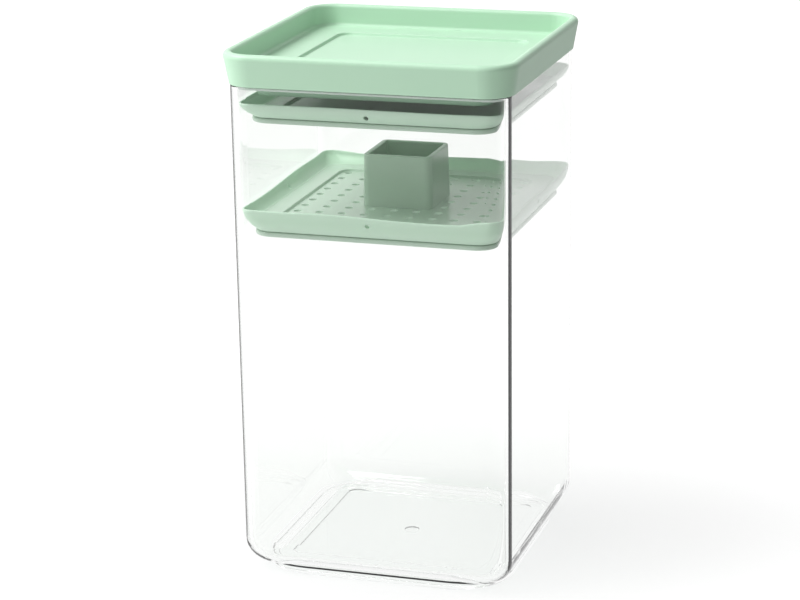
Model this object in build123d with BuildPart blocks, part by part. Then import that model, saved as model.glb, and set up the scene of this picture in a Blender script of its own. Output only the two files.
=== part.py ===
from build123d import *
from math import acos, atan, cos, degrees, radians, sin
import os

os.makedirs("parts", exist_ok=True)

# Square fermentation jar with a push-on lid, an inner lid and a perforated press plate.
# Millimetres, Z up, origin in the middle of the foot ring's underside. The jar is symmetric about Z.

# Jar
body_width = 109.0  # outside, at the shoulder under the lid
body_draft = 0.4  # each wall leans in by this much at the base
body_corner = 7.8  # upright corners, at the base
jar_height = 196.9  # foot to rim
wall = 2.4
floor_thickness = 2.7
bottom_round = 12.0  # where the walls turn under
foot_height = 1.1
foot_inset = 4.3  # from the body's side to the foot ring
foot_width = 5.8
foot_corner = 22.0
foot_inner_corner = 7.0
foot_round = 0.4
foot_root = 3.3  # the ring runs this far up into the rounded bottom
base_step_inset = 5.3  # from the foot ring to a shallow step in the underside
base_step_corner = 3.5
base_step = 0.6
neck_height = 1.9  # thinner wall above the shoulder, inside the lid's skirt
neck_thickness = 1.4
bottom_steps = 4  # sections that draw the rounded bottom, above its lowest
gate_mark = 6.0  # shallow round dimple where the plastic was injected
gate_depth = 0.5

# Fits
clearance = 0.3  # between pieces that move against each other
snap_clearance = 0.2  # between pieces that snap together

# Lid
lid_height = 12.5
lid_overhang = 0.9  # the skirt stands proud of the body
lid_corner = 11.0  # upright corners, at the skirt's foot
lid_flare = 2.3  # and leans out by this much more at the top
rim_width = 3.8
rim_outer_round = 1.9
rim_inner_round = 1.5
recess_depth = 8.6
recess_draft = 0.6
recess_round = 1.4
lid_floor = 2.0
lid_panel_drop = 1.1  # the middle panel lies lower than the ledge round it
lid_panel_slope = 0.5
lid_panel_corner = 4.5
lid_panel_round = 0.4
snap_rib_height = 3.0
snap_rib = 1.4

# Pan under the lid, and the seal between the two
pan_inset = 6.1  # from the jar's inner wall to the pan
pan_depth = 6.6
pan_wall = 1.6
pan_round = 1.0
pan_corner = 6.5
seal_seat = 3.0  # height of the seal's inner bead
seal_bead = 1.4
seal_web = 1.3
seal_lip = 1.0
seal_lip_reach = 1.7  # the lip shows this far below the lid's skirt
seal_lip_lean = 0.4
pan_lip = 1.1

# Inner lid and press plate, which share their plan
inner_lid_drop = 16.5  # rim of the jar to the underside of the inner lid
press_drop = 60.6  # rim of the jar to the underside of the press plate
plate_margin = 4.1  # from the jar's wall to the flange
plate_corner = 8.0
flange_height = 1.9
flange_round = 0.7
plate_hub_inset = 2.4  # groove that holds the skirt's foot
plate_lip = 0.8  # thickness of the lip over that groove
plate_lip_inset = 1.1
panel_margin = 8.5  # flange to the lower middle panel
panel_corner = 5.0
panel_drop = 1.0
panel_round = 0.4  # upper edge of the step round the panel
panel_slope = 0.5
panel_thickness = 1.6
inner_lid_deck = 3.5  # underside to the ledge
press_deck = 6.5

# Soft skirts
skirt_clearance = 0.4  # to the narrowest part of the wall
skirt_corner_step = 0.6  # the free edge's corners are this much sharper than the wall's
skirt_rim = 0.8  # thickness at the free edge
skirt_joint = 0.3  # open line between flange and skirt
skirt_land = 0.5  # flat between the plate's lip and the flare
flare_share = 0.74  # of the flare, reached at half height
inner_lid_skirt = 8.0  # underside of the plate to the rim
press_skirt = 10.7
corner_rise = 1.4  # the press plate's skirt is higher at its corners
rise_start = 6.3  # from the skirt's side to where its rim begins to rise
dish_spare = 0.5  # the skirt is made this much too high, then trimmed
vent_hole = 1.9
vent_above_deck = 1.05

# Drain holes
drain_hole = 3.2
drain_pitch = 9.0
drain_edge = 1.8  # least land between a hole's centre and the panel's edge

# Grip
grip_width = 28.2  # at its foot
grip_height = 20.5
grip_taper = 0.5
grip_corner = 3.2
grip_wall = 1.9
grip_floor = 1.6
grip_round = 0.5
peg_width = 18.0
peg_corner = 2.0
peg_wall = 1.6
barb = 0.6
barb_height = 1.0

# Places that follow
half_top = body_width / 2
half_base = half_top - body_draft
inner_top = half_top - wall
inner_base = half_base - wall
inner_corner = body_corner - wall
inner_round = bottom_round - wall
foot_half = half_base - foot_inset
foot_inner_half = foot_half - foot_width
rim_corner = inner_corner + body_draft
shoulder_z = jar_height - neck_height
floor_z = foot_height + floor_thickness

lid_z = shoulder_z + clearance
lid_top = lid_z + lid_height
lid_ledge = lid_top - recess_depth
lid_under = lid_ledge - lid_floor
lid_foot_half = half_top + lid_overhang
lid_top_half = lid_foot_half + lid_flare
lid_top_corner = lid_corner + lid_flare
recess_half = lid_top_half - rim_width
recess_corner = lid_top_corner - rim_width
neck_half = inner_top + neck_thickness
neck_corner = rim_corner + neck_thickness

pan_half = inner_top - pan_inset
pan_z = lid_under - pan_depth
rib_half = pan_half - pan_wall - snap_clearance
rib_corner = pan_corner - pan_wall - snap_clearance
seal_half = inner_top - clearance
seal_corner = rim_corner - clearance
seal_z = lid_z - seal_lip_reach

plate_half = inner_top - plate_margin
panel_half = plate_half - panel_margin
hub_half = plate_half - plate_hub_inset
hub_corner = plate_corner - plate_hub_inset
lip_half = plate_half - plate_lip_inset
lip_corner = plate_corner - plate_lip_inset
skirt_half = inner_base - skirt_clearance
skirt_corner = inner_corner - skirt_corner_step
inner_lid_z = jar_height - inner_lid_drop
press_z = jar_height - press_drop


def section(z, half, corner):
    """A rounded square, its sides 2 * half apart, lying at height z."""
    with BuildSketch(Plane.XY.offset(z)) as outline:
        RectangleRounded(2 * half, 2 * half, corner)
    return outline.sketch


def taper_angle(spread, height):
    """Angle at which a wall comes out by the spread over the height."""
    return -degrees(atan(spread / height))


def lowest_edges(piece):
    return piece.faces().sort_by(Axis.Z)[0].edges()


def rounded_bottom(z, half, corner, radius):
    """Lower end of a tub whose walls turn under in a quarter circle, widest at its top."""
    turns = [radians(90 * step / bottom_steps) for step in range(bottom_steps + 1)]
    loft([section(z + radius * (1 - cos(t)), half - radius * (1 - sin(t)), corner) for t in turns])


def hole_edges(piece, z):
    """Edges of the opening in the flat face that lies at height z."""
    level = [face for face in piece.faces().filter_by(Plane.XY) if abs(face.center().Z - z) < 0.001]
    return [edge for face in level for wire in face.inner_wires() for edge in wire.edges()]


# Jar: a tapered tub with a foot ring, hollowed, with a thinner neck above the shoulder
wall_z = foot_height + bottom_round
with BuildPart() as jar_hollow:
    inner_wall_z = floor_z + inner_round
    draft = taper_angle(body_draft, shoulder_z - wall_z)
    rounded_bottom(floor_z, inner_base, inner_corner, inner_round)
    extrude(section(inner_wall_z, inner_base, inner_corner), amount=shoulder_z - inner_wall_z, taper=draft)
    extrude(jar_hollow.faces().sort_by(Axis.Z)[-1], amount=neck_height)

with BuildPart() as jar:
    rounded_bottom(foot_height, half_base, body_corner, bottom_round)
    extrude(section(wall_z, half_base, body_corner), amount=shoulder_z - wall_z, taper=draft)
    fillet(jar.faces().sort_by(Axis.Z)[-1].edges(), clearance)
    extrude(section(shoulder_z, neck_half, neck_corner), amount=neck_height)
    extrude(section(0, foot_half, foot_corner), amount=foot_height + foot_root)
    extrude(section(0, foot_inner_half, foot_inner_corner), amount=foot_height, mode=Mode.SUBTRACT)
    fillet(lowest_edges(jar), foot_round)
    extrude(
        section(foot_height, foot_inner_half - base_step_inset, base_step_corner),
        amount=base_step,
        mode=Mode.SUBTRACT,
    )
    add(jar_hollow.part, mode=Mode.SUBTRACT)
    with BuildSketch(Plane.XY.offset(foot_height + base_step)):
        Circle(gate_mark / 2)
    extrude(amount=gate_depth, mode=Mode.SUBTRACT)
jar.part.label = "jar"
export_step(jar.part, "parts/jar.step")

# Lid cap: flared outside, a recess that takes the foot of another jar, and a square panel in its floor
with BuildPart() as lid_recess:
    extrude(
        section(lid_ledge, recess_half - recess_draft, recess_corner - recess_draft),
        amount=recess_depth,
        taper=taper_angle(recess_draft, recess_depth),
    )
    fillet(lowest_edges(lid_recess), recess_round)

with BuildPart() as lid_panel:
    extrude(
        section(lid_ledge - lid_panel_drop, panel_half - lid_panel_slope, lid_panel_corner),
        amount=lid_panel_drop,
        taper=taper_angle(lid_panel_slope, lid_panel_drop),
    )
    fillet(lowest_edges(lid_panel), lid_panel_round)

with BuildPart() as lid_cap:
    extrude(
        section(lid_z, lid_foot_half, lid_corner),
        amount=lid_height,
        taper=taper_angle(lid_flare, lid_height),
    )
    add(lid_recess.part, mode=Mode.SUBTRACT)
    add(lid_panel.part, mode=Mode.SUBTRACT)
    rim = lid_cap.faces().sort_by(Axis.Z)[-1]
    outer_edges = rim.outer_wire().edges()
    inner_edges = rim.inner_wires()[0].edges()
    fillet(outer_edges, rim_outer_round)
    fillet(inner_edges, rim_inner_round)
    fillet(hole_edges(lid_cap, lid_ledge), lid_panel_round)
    # Underside: a pocket for the neck, and the rib that holds the pan round a floor lowered like the panel
    extrude(
        section(lid_z, neck_half + clearance, neck_corner + clearance),
        amount=lid_under - lid_z,
        mode=Mode.SUBTRACT,
    )
    extrude(section(lid_under, rib_half, rib_corner), amount=-snap_rib_height)
    extrude(
        section(lid_under - lid_panel_drop, rib_half - snap_rib, rib_corner - snap_rib),
        amount=lid_panel_drop - snap_rib_height,
        mode=Mode.SUBTRACT,
    )
lid_cap.part.label = "lid_cap"
export_step(lid_cap.part, "parts/lid_cap.step")

# Pan: closes the lid from below, and its lip carries the seal
with BuildPart() as lid_pan:
    extrude(section(pan_z, pan_half, pan_corner), amount=pan_depth)
    lip_base_z = lid_under - seal_seat - pan_lip
    extrude(section(lip_base_z, pan_half + pan_lip, pan_corner + pan_lip), amount=pan_lip)
    fillet(lowest_edges(lid_pan), pan_round)
    extrude(
        section(pan_z + pan_wall, pan_half - pan_wall, pan_corner - pan_wall),
        amount=pan_depth - pan_wall,
        mode=Mode.SUBTRACT,
    )
lid_pan.part.label = "lid_pan"
export_step(lid_pan.part, "parts/lid_pan.step")

# Seal: an inner bead round the pan, a flat web under the cap and a lip that hangs down inside the neck
with BuildPart() as lid_seal:
    lean = taper_angle(-seal_lip_lean, lid_under - seal_z)
    extrude(section(seal_z, seal_half, seal_corner), amount=lid_under - seal_z, taper=lean)
    extrude(
        section(seal_z, seal_half - seal_lip, seal_corner - seal_lip),
        amount=lid_under - seal_web - seal_z,
        taper=lean,
        mode=Mode.SUBTRACT,
    )
    extrude(section(lid_under, pan_half + seal_bead, pan_corner + seal_bead), amount=-seal_seat)
    extrude(section(lid_under, pan_half, pan_corner), amount=-seal_seat, mode=Mode.SUBTRACT)
lid_seal.part.label = "lid_seal"
export_step(lid_seal.part, "parts/lid_seal.step")


def insert_plate(base_z, deck):
    """Rigid plate of an insert: flange, groove for the skirt's foot, lip, ledge and lower middle panel."""
    deck_z = base_z + deck
    under_z = deck_z - panel_thickness
    under_half = hub_half - panel_thickness
    under_corner = hub_corner - panel_thickness
    with BuildPart() as plate:
        extrude(section(base_z, plate_half, plate_corner), amount=flange_height)
        fillet(plate.edges().filter_by(Axis.Z, reverse=True), flange_round)
        extrude(section(base_z + flange_height, hub_half, hub_corner), amount=deck - flange_height)
        extrude(section(deck_z, lip_half, lip_corner), amount=-plate_lip)
        extrude(
            section(deck_z - panel_drop, panel_half - panel_slope, panel_corner),
            amount=panel_drop,
            taper=taper_angle(panel_slope, panel_drop),
            mode=Mode.SUBTRACT,
        )
        fillet(hole_edges(plate, deck_z), panel_round)
        # The underside is hollowed, so that ledge and panel are equally thick
        extrude(section(base_z, under_half, under_corner), amount=under_z - base_z, mode=Mode.SUBTRACT)
        extrude(section(under_z, panel_half + panel_slope, panel_corner), amount=-panel_drop)
    return plate.part


def insert_skirt(base_z, deck, height, rise):
    """Soft skirt of an insert: its foot fills the plate's groove, and it flares out to the jar's wall."""
    foot_z = base_z + flange_height + skirt_joint
    deck_z = base_z + deck
    lip_z = deck_z - plate_lip
    rim_z = base_z + height
    top_z = rim_z + rise
    mouth_half = lip_half + skirt_land
    mouth_corner = lip_corner - skirt_land
    inner_rim_half = skirt_half - skirt_rim
    inner_rim_corner = skirt_corner - skirt_rim
    with BuildPart() as skirt:
        loft(
            [
                section(foot_z, plate_half, plate_corner),
                section(
                    (foot_z + top_z) / 2,
                    plate_half + flare_share * (skirt_half - plate_half),
                    (plate_corner + skirt_corner) / 2,
                ),
                section(top_z, skirt_half, skirt_corner),
            ]
        )
        # The seat on the plate: the groove's width, then the lip's
        extrude(section(foot_z, hub_half, hub_corner), amount=lip_z - foot_z, mode=Mode.SUBTRACT)
        extrude(section(lip_z, lip_half, lip_corner), amount=plate_lip, mode=Mode.SUBTRACT)
        # The inside of the flare
        loft(
            [
                section(deck_z, mouth_half, mouth_corner),
                section(
                    (deck_z + top_z) / 2,
                    mouth_half + flare_share * (inner_rim_half - mouth_half),
                    (mouth_corner + inner_rim_corner) / 2,
                ),
                section(top_z, inner_rim_half, inner_rim_corner),
            ],
            mode=Mode.SUBTRACT,
        )
        with Locations((0, 0, deck_z + vent_above_deck)):
            Cylinder(vent_hole / 2, body_width, rotation=(90, 0, 0), mode=Mode.SUBTRACT)
            Cylinder(vent_hole / 2, body_width, rotation=(0, 90, 0), mode=Mode.SUBTRACT)
    return skirt.part


# Inner lid: a plain tray
with BuildPart() as inner_lid_plate:
    add(insert_plate(inner_lid_z, inner_lid_deck))
inner_lid_plate.part.label = "inner_lid_plate"
export_step(inner_lid_plate.part, "parts/inner_lid_plate.step")

with BuildPart() as inner_lid_wiper:
    add(insert_skirt(inner_lid_z, inner_lid_deck, inner_lid_skirt, 0))
inner_lid_wiper.part.label = "inner_lid_wiper"
export_step(inner_lid_wiper.part, "parts/inner_lid_wiper.step")

# Press plate: a straight grid of drain holes everywhere but under the grip, and a square socket for its peg
grip_half = grip_width / 2
peg_half = peg_width / 2
panel_z = press_z + press_deck - panel_drop
drain_rows = int((panel_half - panel_slope - drain_edge) // drain_pitch)
drain_lines = [drain_pitch * row for row in range(-drain_rows, drain_rows + 1)]
grip_keep = grip_half + drain_hole / 2
drain_places = [(x, y) for x in drain_lines for y in drain_lines if max(abs(x), abs(y)) > grip_keep]

with BuildPart() as press_plate:
    add(insert_plate(press_z, press_deck))
    with BuildSketch(Plane.XY.offset(panel_z)):
        with Locations(*drain_places):
            Circle(drain_hole / 2)
        RectangleRounded(peg_width + 2 * snap_clearance, peg_width + 2 * snap_clearance, peg_corner)
    extrude(amount=-panel_thickness, mode=Mode.SUBTRACT)
press_plate.part.label = "press_plate"
export_step(press_plate.part, "parts/press_plate.step")

# Its skirt is trimmed by a shallow dish, so that the rim stays level along each side and rises at the corners
press_rim_z = press_z + press_skirt
dish_start = skirt_half + rise_start
dish_reach = (skirt_half - skirt_corner) * 2**0.5 + skirt_corner - dish_start
dish_radius = (dish_reach**2 + corner_rise**2) / (2 * corner_rise)
dish_sweep = degrees(acos(1 - (corner_rise + 2 * dish_spare) / dish_radius))
with BuildPart() as press_rim_dish:
    with BuildSketch(Plane.XZ):
        with BuildLine():
            level = Line((0, press_rim_z), (dish_start, press_rim_z))
            bend = JernArc(level @ 1, level % 1, dish_radius, dish_sweep)
            side = Line(bend @ 1, (0, (bend @ 1).Y))
            Line(side @ 1, level @ 0)
        make_face()
    revolve(axis=Axis.Z)

with BuildPart() as press_wiper:
    add(insert_skirt(press_z, press_deck, press_skirt, corner_rise + dish_spare))
    add(press_rim_dish.part, mode=Mode.SUBTRACT)
press_wiper.part.label = "press_wiper"
export_step(press_wiper.part, "parts/press_wiper.step")

# Grip: a tapered square cup whose barbed peg snaps through the plate
with BuildPart() as press_handle:
    slope = taper_angle(-grip_taper, grip_height)
    extrude(section(panel_z, grip_half, grip_corner), amount=grip_height, taper=slope)
    extrude(
        section(panel_z + grip_floor, grip_half - grip_wall, grip_corner - grip_wall),
        amount=grip_height - grip_floor,
        taper=slope,
        mode=Mode.SUBTRACT,
    )
    fillet(press_handle.faces().sort_by(Axis.Z)[-1].edges(), grip_round)
    extrude(section(panel_z, peg_half, peg_corner), amount=-panel_thickness)
    barb_z = panel_z - panel_thickness
    extrude(
        section(barb_z, peg_half + barb, peg_corner + barb),
        amount=-barb_height,
        taper=degrees(atan((barb + snap_clearance) / barb_height)),
    )
    extrude(
        section(panel_z, peg_half - peg_wall, peg_corner / 2),
        amount=-(panel_thickness + barb_height),
        mode=Mode.SUBTRACT,
    )
press_handle.part.label = "press_handle"
export_step(press_handle.part, "parts/press_handle.step")
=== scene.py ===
from math import atan2, cos, hypot, pi, radians, sin

import bmesh
import bpy
from mathutils import Matrix, Vector


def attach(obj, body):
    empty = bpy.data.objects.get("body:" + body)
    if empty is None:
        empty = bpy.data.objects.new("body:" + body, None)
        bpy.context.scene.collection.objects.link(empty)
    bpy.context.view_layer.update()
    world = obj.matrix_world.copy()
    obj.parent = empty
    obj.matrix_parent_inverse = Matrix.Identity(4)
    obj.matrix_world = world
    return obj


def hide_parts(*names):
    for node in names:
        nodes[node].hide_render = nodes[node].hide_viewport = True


# Fermentation jar: a clear moulded tub with a mint lid, an inner lid and a press plate, on a white studio floor

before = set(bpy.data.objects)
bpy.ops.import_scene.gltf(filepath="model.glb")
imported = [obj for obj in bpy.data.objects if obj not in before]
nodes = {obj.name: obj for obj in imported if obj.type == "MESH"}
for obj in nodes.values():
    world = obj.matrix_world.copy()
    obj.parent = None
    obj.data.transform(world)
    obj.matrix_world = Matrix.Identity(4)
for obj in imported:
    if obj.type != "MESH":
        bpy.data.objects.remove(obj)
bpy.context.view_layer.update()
scene = bpy.context.scene
mm = 0.001
white = (1.0, 1.0, 1.0, 1.0)
print("Frame loaded:", ", ".join(sorted(nodes)))


def linear(hexColour):
    channels = [int(hexColour[i:i + 2], 16) / 255 for i in (1, 3, 5)]
    return [c / 12.92 if c <= 0.04045 else ((c + 0.055) / 1.055) ** 2.4 for c in channels] + [1.0]


def addNode(tree, kind, settings=None, links=None):
    # Settings go to the node's inputs, or to its own properties; links feed its inputs from other sockets
    node = tree.nodes.new(kind)
    for name, value in (settings or {}).items():
        if isinstance(name, int) or name in node.inputs:
            node.inputs[name].default_value = value
        else:
            setattr(node, name, value)
    for name, socket in (links or {}).items():
        tree.links.new(socket, node.inputs[name])
    return node


def newMaterial(name):
    material = bpy.data.materials.new(name)
    material.use_nodes = True
    material.node_tree.nodes.clear()
    return material, material.node_tree


def addObject(name, data):
    made = bpy.data.objects.new(name, data)
    scene.collection.objects.link(made)
    return made


# Camera

camera = dict(
    lens=115.9,  # on a 36 mm sensor
    sensor=36.0,
    azimuth=17.437,  # degrees to the right of the jar's front
    elevation=16.523,
    roll=-0.885,
    distance=1022.28,  # mm from the aim point
    aimRight=-3.204,  # the aim point, mm to the right of the jar's axis
    aimHeight=100.388,
    shift=-0.0016,
    nearest=0.05,  # m
    farthest=20.0,
)


def placeCamera():
    a, e, r = (radians(camera[k]) for k in ("azimuth", "elevation", "roll"))
    back = Vector((sin(a) * cos(e), -cos(a) * cos(e), sin(e)))
    aim = Vector((camera["aimRight"] * cos(a), camera["aimRight"] * sin(a), camera["aimHeight"])) * mm
    right = (-back).cross(Vector((0, 0, 1))).normalized()
    up = right.cross(-back)
    axes = (right * cos(r) + up * sin(r), up * cos(r) - right * sin(r), back)
    data = bpy.data.cameras.new("camera")
    data.lens = camera["lens"]
    data.sensor_width = camera["sensor"]
    data.shift_x = camera["shift"]
    data.clip_start = camera["nearest"]
    data.clip_end = camera["farthest"]
    made = addObject("camera", data)
    place = Matrix(axes).transposed().to_4x4()
    place.translation = aim + back * camera["distance"] * mm
    made.matrix_world = place
    scene.camera = made


placeCamera()
print("Camera placed")

# Studio: each pair is two ends of a ramp, a reach says where it runs

studio = dict(
    floorSize=8.0,  # m
    board="#898989",  # the matt floor, which takes the jar's soft shadow
    floorGlow=(0.72, 0.9),  # the floor's own white, near the jar and far from it
    glowReach=(0.06, 0.2),  # m from the jar's axis
    bounce=(1.25, 0.1),  # the floor's light on matt surfaces, from the left half and from the right
    bounceReach=(0.0, 0.4),  # m to the right of the jar's axis
    backdrop=1.04,  # the white that shows past the floor
    sky=(0.05, 0.75),  # the sky for matt surfaces, on its darkest side and its brightest
    skySide=(-0.72, -0.25, 0.65),
    mirrored=(0.06, 1.0),  # what gloss mirrors: a dark room in front, the white backdrop behind
    mirroredFloorReach=(-0.45, -0.1),  # m behind the jar's axis
    mirroredSkyReach=(-0.2, 0.9),  # share of the direction that points back
    insideWall=0.6,  # light led along inside the clear wall comes this much from the backdrop
    key=20.0,  # W
    keySize=0.8,  # m
    keyPlace=(-0.85, -0.35, 1.3),
    keyAim=(0, 0, 0.1),
)


def ramp(tree, value, reach, levels):
    return addNode(tree, "ShaderNodeMapRange", {
        "From Min": reach[0], "From Max": reach[1], "To Min": levels[0], "To Max": levels[1]},
        {"Value": value}).outputs["Result"]


def litBy(tree, direct, mirrored, matt):
    # The camera sees one shader, straight or through clear plastic; gloss mirrors another; a third lights matt
    # surfaces. A ray that was mirrored inside the clear wall gets a mix of the first two.
    path = addNode(tree, "ShaderNodeLightPath")
    seen = addNode(tree, "ShaderNodeMath", {"operation": "MAXIMUM"},
                   {0: path.outputs["Is Camera Ray"], 1: path.outputs["Is Transmission Ray"]})
    most = ramp(tree, path.outputs["Transmission Depth"], (0.0, 1.0), (1.0, 1 - studio["insideWall"]))
    bounced = addNode(tree, "ShaderNodeMath", {"operation": "MINIMUM"}, {0: path.outputs["Glossy Depth"], 1: most})
    straight = addNode(tree, "ShaderNodeMath", {"operation": "SUBTRACT", "use_clamp": True},
                       {0: seen.outputs[0], 1: bounced.outputs[0]})
    gloss = addNode(tree, "ShaderNodeMixShader", links={
        0: path.outputs["Is Glossy Ray"], 1: matt.outputs[0], 2: mirrored.outputs[0]})
    return addNode(tree, "ShaderNodeMixShader", links={
        0: straight.outputs[0], 1: gloss.outputs[0], 2: direct.outputs[0]}).outputs[0]


def makeWorld():
    world = bpy.data.worlds.new("studio")
    world.use_nodes = True
    tree = world.node_tree
    tree.nodes.clear()
    way = addNode(tree, "ShaderNodeTexCoord").outputs["Generated"]
    side = addNode(tree, "ShaderNodeVectorMath", {"operation": "DOT_PRODUCT", 1: studio["skySide"]}, {0: way})
    backward = addNode(tree, "ShaderNodeSeparateXYZ", links={0: way}).outputs["Y"]
    strengths = (
        ramp(tree, backward, studio["mirroredSkyReach"], studio["mirrored"]),
        ramp(tree, side.outputs["Value"], (-1.0, 1.0), studio["sky"]),
    )
    backdrop = addNode(tree, "ShaderNodeBackground", {"Color": white, "Strength": studio["backdrop"]})
    mirrored, matt = (addNode(tree, "ShaderNodeBackground", {"Color": white}, {"Strength": strength})
                      for strength in strengths)
    addNode(tree, "ShaderNodeOutputWorld", links={"Surface": litBy(tree, backdrop, mirrored, matt)})
    scene.world = world


def makeFloor():
    half = studio["floorSize"] / 2
    mesh = bpy.data.meshes.new("studioFloor")
    mesh.from_pydata([(-half, -half, 0), (half, -half, 0), (half, half, 0), (-half, half, 0)], [], [(0, 1, 2, 3)])
    floor = addObject("studioFloor", mesh)
    material, tree = newMaterial("mattWhiteBoard")
    place = addNode(tree, "ShaderNodeTexCoord").outputs["Object"]
    split = addNode(tree, "ShaderNodeSeparateXYZ", links={0: place})
    away = addNode(tree, "ShaderNodeVectorMath", {"operation": "LENGTH"}, {0: place}).outputs["Value"]
    strengths = (
        ramp(tree, away, studio["glowReach"], studio["floorGlow"]),
        ramp(tree, split.outputs["Y"], studio["mirroredFloorReach"], studio["mirrored"]),
        ramp(tree, split.outputs["X"], studio["bounceReach"], studio["bounce"]),
    )
    glow, mirrored, bounce = (addNode(tree, "ShaderNodeEmission", links={"Strength": strength})
                              for strength in strengths)
    board = addNode(tree, "ShaderNodeBsdfDiffuse", {"Color": linear(studio["board"])})
    lit = addNode(tree, "ShaderNodeAddShader", links={0: board.outputs[0], 1: glow.outputs[0]})
    addNode(tree, "ShaderNodeOutputMaterial", links={"Surface": litBy(tree, lit, mirrored, bounce)})
    mesh.materials.append(material)


def makeKey():
    data = bpy.data.lights.new("keyBox", "AREA")
    data.energy = studio["key"]
    data.size = studio["keySize"]
    lamp = addObject("keyBox", data)
    place = Vector(studio["keyPlace"])
    lamp.location = place
    lamp.rotation_euler = (Vector(studio["keyAim"]) - place).to_track_quat("-Z", "Y").to_euler()


makeWorld()
makeFloor()
makeKey()
print("Studio lit")

# Materials

clearTub = dict(
    tint="#FDFEFD",
    ior=1.57,
    wave=38.0,  # mm between the soft waves that a moulded wall has
    waveDepth=0.05,  # mm
    waveStrength=0.25,
    shade="#F6F8F7",  # what each side of the wall lets through to the pieces inside
    absorbColour=(0.30, 0.34, 0.32, 1.0),
    absorb=3.0,  # per metre: nothing through the wall, grey along it
)


def makeClearMoulding():
    # Styrene-acrylonitrile, injection moulded: water clear, sharp reflections, grey where one looks along the wall
    material, tree = newMaterial("clearStyreneAcrylonitrile")
    place = addNode(tree, "ShaderNodeTexCoord")
    waves = addNode(tree, "ShaderNodeTexNoise", {"Scale": 1 / (clearTub["wave"] * mm), "Detail": 1.0},
                    {"Vector": place.outputs["Object"]})
    bump = addNode(tree, "ShaderNodeBump", {
        "Strength": clearTub["waveStrength"], "Distance": clearTub["waveDepth"] * mm},
        {"Height": waves.outputs["Fac"]})
    wall = addNode(tree, "ShaderNodeBsdfPrincipled", {
        "Base Color": linear(clearTub["tint"]),
        "Roughness": 0.0,
        "IOR": clearTub["ior"],
        "Transmission Weight": 1.0,
    }, {"Normal": bump.outputs["Normal"]})
    through = addNode(tree, "ShaderNodeBsdfTransparent", {"Color": linear(clearTub["shade"])})
    path = addNode(tree, "ShaderNodeLightPath")
    lamps = addNode(tree, "ShaderNodeMath", {"operation": "MAXIMUM"}, {
        0: path.outputs["Is Shadow Ray"], 1: path.outputs["Is Diffuse Ray"]})
    mix = addNode(tree, "ShaderNodeMixShader", links={
        0: lamps.outputs[0], 1: wall.outputs[0], 2: through.outputs[0]})
    smoke = addNode(tree, "ShaderNodeVolumeAbsorption", {
        "Color": clearTub["absorbColour"], "Density": clearTub["absorb"]})
    addNode(tree, "ShaderNodeOutputMaterial", links={"Surface": mix.outputs[0], "Volume": smoke.outputs[0]})
    return material


moulded = dict(
    ior=1.49,
    glossDrift=0.05,  # the grain moves the roughness this much up and down
    grainStrength=0.4,
    glowDepth=0.002,  # m that light gets into the plastic
)

# Two near colours that drift over the blotch size, then roughness and glow; grain, grainDepth and blotch are in mm
lidMint = dict(light="#BFE3C7", dark="#BBDFC3", roughness=0.42, glow=0.15, grain=0.9, grainDepth=0.01, blotch=24)
plateMint = dict(light="#C8DCCB", dark="#C4D8C7", roughness=0.22, glow=0.15, grain=1.2, grainDepth=0.006, blotch=20)
# The skirts' colours are paler than their own mint: part of that is painted light from the bright floor below
skirtMintWithPaintedFloorLight = dict(light="#D2EBD6", dark="#CEE7D2", roughness=0.38, glow=0.35, grain=1.0, grainDepth=0.01, blotch=16)
sealMilky = dict(light="#E6EEE8", dark="#DDE6E0", roughness=0.35, glow=0.4, grain=1.0, grainDepth=0.01, blotch=12)


def makeMoulded(name, look):
    # Body-coloured plastic: the colour drifts a little, and the tool's fine grain dulls the gloss
    material, tree = newMaterial(name)
    place = addNode(tree, "ShaderNodeTexCoord")
    drift = addNode(tree, "ShaderNodeTexNoise", {"Scale": 1 / (look["blotch"] * mm), "Detail": 3.0},
                    {"Vector": place.outputs["Object"]})
    colour = addNode(tree, "ShaderNodeMix", {
        "data_type": "RGBA", 6: linear(look["dark"]), 7: linear(look["light"])}, {0: drift.outputs["Fac"]})
    fine = addNode(tree, "ShaderNodeTexNoise", {"Scale": 1 / (look["grain"] * mm), "Detail": 2.0},
                   {"Vector": place.outputs["Object"]})
    gloss = ramp(tree, fine.outputs["Fac"], (0.0, 1.0),
                 (look["roughness"] - moulded["glossDrift"], look["roughness"] + moulded["glossDrift"]))
    bump = addNode(tree, "ShaderNodeBump", {
        "Strength": moulded["grainStrength"], "Distance": look["grainDepth"] * mm},
        {"Height": fine.outputs["Fac"]})
    shader = addNode(tree, "ShaderNodeBsdfPrincipled", {
        "IOR": moulded["ior"],
        "Subsurface Weight": look["glow"],
        "Subsurface Radius": (1.0, 1.0, 1.0),
        "Subsurface Scale": moulded["glowDepth"],
    }, {
        "Base Color": colour.outputs[2],
        "Roughness": gloss,
        "Normal": bump.outputs["Normal"],
    })
    addNode(tree, "ShaderNodeOutputMaterial", links={"Surface": shader.outputs[0]})
    return material


clearMoulding = makeClearMoulding()
lidPlastic = makeMoulded("mintPolypropylene", lidMint)  # satin, so that the rim's highlights are wide and soft
platePlastic = makeMoulded("mintGlossPolypropylene", plateMint)  # glossier, it mirrors the grip in the plate
wiperSilicone = makeMoulded("mintSilicone", skirtMintWithPaintedFloorLight)  # light gets into it; it is paler than the plates partly as its own colour and partly as painted light from the floor below
sealSilicone = makeMoulded("clearSilicone", sealMilky)  # milky and soft, a pale band under the lid

finishes = {
    "jar": clearMoulding,
    "lid_cap": lidPlastic,
    "lid_pan": lidPlastic,
    "inner_lid_plate": platePlastic,
    "press_plate": platePlastic,
    "press_handle": platePlastic,
}
for name, material in finishes.items():
    nodes[name].material_slots[0].material = material
print("Materials made:", len(bpy.data.materials))

# Soft rings: each is a profile swept round a rounded square

ringSteps = dict(
    side=44,  # faces along one side
    corner=14,  # and round one corner
    curl=30,  # degrees between the points of a rounded edge
    hole=32,  # faces round a hole
    creaseAngle=35,  # degrees: edges sharper than this stay crisp
)


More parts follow.
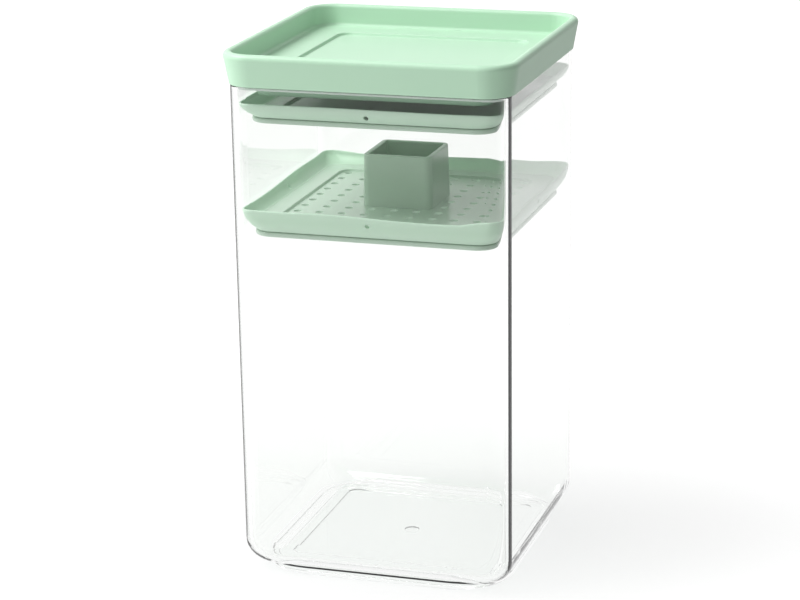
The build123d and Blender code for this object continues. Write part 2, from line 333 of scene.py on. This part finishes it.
def ringPoints(half, corner):
    points = []
    for turn in range(4):
        arc = [pi / 2 * i / ringSteps["corner"] for i in range(ringSteps["corner"] + 1)]
        quarter = [(half - corner + corner * cos(a), half - corner + corner * sin(a)) for a in arc]
        quarter += [((half - corner) * (1 - 2 * i / ringSteps["side"]), half) for i in range(1, ringSteps["side"])]
        c, s = round(cos(turn * pi / 2)), round(sin(turn * pi / 2))
        points += [(x * c - y * s, x * s + y * c) for x, y in quarter]
    return points


def sweepRing(name, profile, lift=None):
    # The profile is a closed loop of half width, corner, height and share of the lift, all in mm
    loops = []
    for half, corner, height, share in profile:
        loops.append([(x * mm, y * mm, (height + (share * lift(x, y) if lift else 0)) * mm)
                      for x, y in ringPoints(half, corner)])
    count = len(loops[0])
    points = [point for loop in loops for point in loop]
    faces = []
    for i in range(len(loops)):
        low, high = i * count, (i + 1) % len(loops) * count
        faces += [(low + k, low + (k + 1) % count, high + (k + 1) % count, high + k) for k in range(count)]
    mesh = bpy.data.meshes.new(name)
    mesh.from_pydata(points, [], faces)
    return addObject(name, mesh)


def cutHoles(ring, places, diameter, depth):
    # Round holes straight through the ring's four sides
    cutter = bmesh.new()
    for place, axis in places:
        bmesh.ops.create_cone(
            cutter, cap_ends=True, segments=ringSteps["hole"],
            radius1=diameter / 2 * mm, radius2=diameter / 2 * mm, depth=depth * mm,
            matrix=Matrix.Translation(Vector(place) * mm) @ Matrix.Rotation(pi / 2, 4, axis))
    mesh = bpy.data.meshes.new("holes")
    cutter.to_mesh(mesh)
    cutter.free()
    holes = addObject("holes", mesh)
    cut = ring.modifiers.new("holes", "BOOLEAN")
    cut.object = holes
    cut.solver = "EXACT"
    whole = ring.data
    ring.data = bpy.data.meshes.new_from_object(ring.evaluated_get(bpy.context.evaluated_depsgraph_get()))
    ring.data.name = whole.name
    ring.modifiers.clear()
    bpy.data.objects.remove(holes)
    bpy.data.meshes.remove(mesh)
    bpy.data.meshes.remove(whole)


def finishRing(ring, material, node, body):
    shape = bmesh.new()
    shape.from_mesh(ring.data)
    bmesh.ops.recalc_face_normals(shape, faces=shape.faces)
    shape.to_mesh(ring.data)
    shape.free()
    ring.data.polygons.foreach_set("use_smooth", [True] * len(ring.data.polygons))
    ring.data.set_sharp_from_angle(angle=radians(ringSteps["creaseAngle"]))
    ring.data.materials.clear()
    ring.data.materials.append(material)
    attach(ring, body)
    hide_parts(node)


skirtPlan = dict(  # half widths and corners in mm, shared by both skirts
    hub=(45.62, 5.6),
    foot=(48.0, 8.0),
    rim=(51.3, 4.8),
    lip=(46.92, 6.9),
    mouth=(47.4, 6.4),
    edge=0.8,  # thickness at the free edge
    footRound=0.3,
    vent=1.9,
    ventAboveDeck=1.05,
    ventOutside=1.0,  # the middle of the vent's cut, past the foot
    ventDepth=12.0,
    steps=14,
    waves=4,  # swells of the rim in one turn
    waveTurn=-110,  # degrees to the first
    cornerReach=15.0,  # round each corner where the rim rises
)
innerLidSkirt = dict(foot=182.6, lip=183.1, deck=183.9, rim=188.4, wave=0.12, corners=(0.1, 0.0, 0.1, 0.0))
pressSkirt = dict(
    foot=138.5,
    lip=142.0,
    deck=142.8,
    rim=147.0,
    wave=0.5,
    corners=(0.6, 0.5, 1.5, 0.9),  # rise at the back left, front left, front right and back right
)


def rimLift(skirt):
    half = skirtPlan["rim"][0]
    corners = ((-half, half), (-half, -half), (half, -half), (half, half))

    def lift(x, y):
        total = skirt["wave"] * cos(skirtPlan["waves"] * (atan2(y, x) - radians(skirtPlan["waveTurn"])))
        for (cornerX, cornerY), rise in zip(corners, skirt["corners"]):
            near = max(0.0, 1 - hypot(x - cornerX, y - cornerY) / skirtPlan["cornerReach"])
            total = total * (1 - near) + rise * near * (2 - near)
        return total

    return lift


def skirtProfile(skirt):
    edge = skirtPlan["edge"] / 2
    top = skirt["rim"] - edge
    steps = skirtPlan["steps"]
    turnStep = ringSteps["curl"]

    def mix(low, high, share):
        return low + (high - low) * share

    def flare(low, high, base, share):
        bow = 1 - (1 - share) ** 2
        height = mix(base, top, share)
        rise = max(0.0, (height - skirt["deck"]) / (top - skirt["deck"]))
        return mix(low[0], high[0], bow), mix(low[1], high[1], share), height, rise

    hub, foot, lip = skirtPlan["hub"], skirtPlan["foot"], skirtPlan["lip"]
    rim, curl = skirtPlan["rim"], skirtPlan["footRound"]
    inside = (rim[0] - 2 * edge, rim[1] - 2 * edge)
    loop = [(*hub, skirt["foot"], 0)]
    for turn in range(0, 90, turnStep):
        inset = curl * (1 - sin(radians(turn)))
        loop.append((foot[0] - inset, foot[1] - inset, skirt["foot"] + curl * (1 - cos(radians(turn))), 0))
    loop += [flare(foot, rim, skirt["foot"] + curl, i / steps) for i in range(steps + 1)]
    for turn in range(turnStep, 180, turnStep):
        inset = edge * (1 - cos(radians(turn)))
        loop.append((rim[0] - inset, rim[1] - inset, top + edge * sin(radians(turn)), 1))
    loop += [flare(skirtPlan["mouth"], inside, skirt["deck"], 1 - i / steps) for i in range(steps + 1)]
    loop += [(*lip, skirt["deck"], 0), (*lip, skirt["lip"], 0), (*hub, skirt["lip"], 0)]
    return loop


def makeSkirt(name, skirt, node, body):
    ring = sweepRing(name, skirtProfile(skirt), rimLift(skirt))
    ventZ = skirt["deck"] + skirtPlan["ventAboveDeck"]
    middle = skirtPlan["foot"][0] + skirtPlan["ventOutside"]
    places = [((0, side * middle, ventZ), "X") for side in (-1, 1)]
    places += [((side * middle, 0, ventZ), "Y") for side in (-1, 1)]
    cutHoles(ring, places, skirtPlan["vent"], skirtPlan["ventDepth"])
    finishRing(ring, wiperSilicone, node, body)


makeSkirt("innerLidSkirt", innerLidSkirt, "inner_lid_wiper", "inner_lid")
makeSkirt("pressSkirt", pressSkirt, "press_wiper", "press")
print("Skirts made")

sealRing = dict(  # mm, widths and corners as for the skirts
    innerBead=46.02,
    outerBead=47.4,
    beadCorner=6.5,
    beadFoot=194.2,
    webFoot=195.9,
    lipHalf=51.8,
    lipCorner=5.5,
    lipThick=1.0,
    lipLean=0.4,  # the lip leans in this much from foot to top
    foot=193.6,
    top=197.2,
    curl=0.4,  # bevel at the bead's foot
)


def makeSeal():
    seal = sealRing
    curl, thick, foot = seal["curl"], seal["lipThick"], seal["foot"]
    innerBead, outerBead, innerCorner = seal["innerBead"], seal["outerBead"], seal["beadCorner"]
    outerCorner = innerCorner + outerBead - innerBead

    def lipPoint(inset, height):
        drawn = inset + seal["lipLean"] * (height - foot) / (seal["top"] - foot)
        return seal["lipHalf"] - drawn, seal["lipCorner"] - drawn, height, 0

    profile = [
        (innerBead, innerCorner, seal["beadFoot"] + curl, 0),
        (innerBead + curl, innerCorner + curl, seal["beadFoot"], 0),
        (outerBead - curl, outerCorner - curl, seal["beadFoot"], 0),
        (outerBead, outerCorner, seal["beadFoot"] + curl, 0),
        (outerBead, outerCorner, seal["webFoot"], 0),
        lipPoint(thick, seal["webFoot"]),
    ]
    for turn in range(0, 181, ringSteps["curl"]):
        drawn = thick / 2 * (1 + cos(radians(turn)))
        profile.append(lipPoint(drawn, foot + thick / 2 * (1 - sin(radians(turn)))))
    profile += [lipPoint(0, seal["top"]), (innerBead, innerCorner, seal["top"], 0)]
    ring = sweepRing("lidSealRing", profile)
    finishRing(ring, sealSilicone, "lid_seal", "lid")


makeSeal()
print("Seal made")

scene.view_settings.view_transform = "Standard"
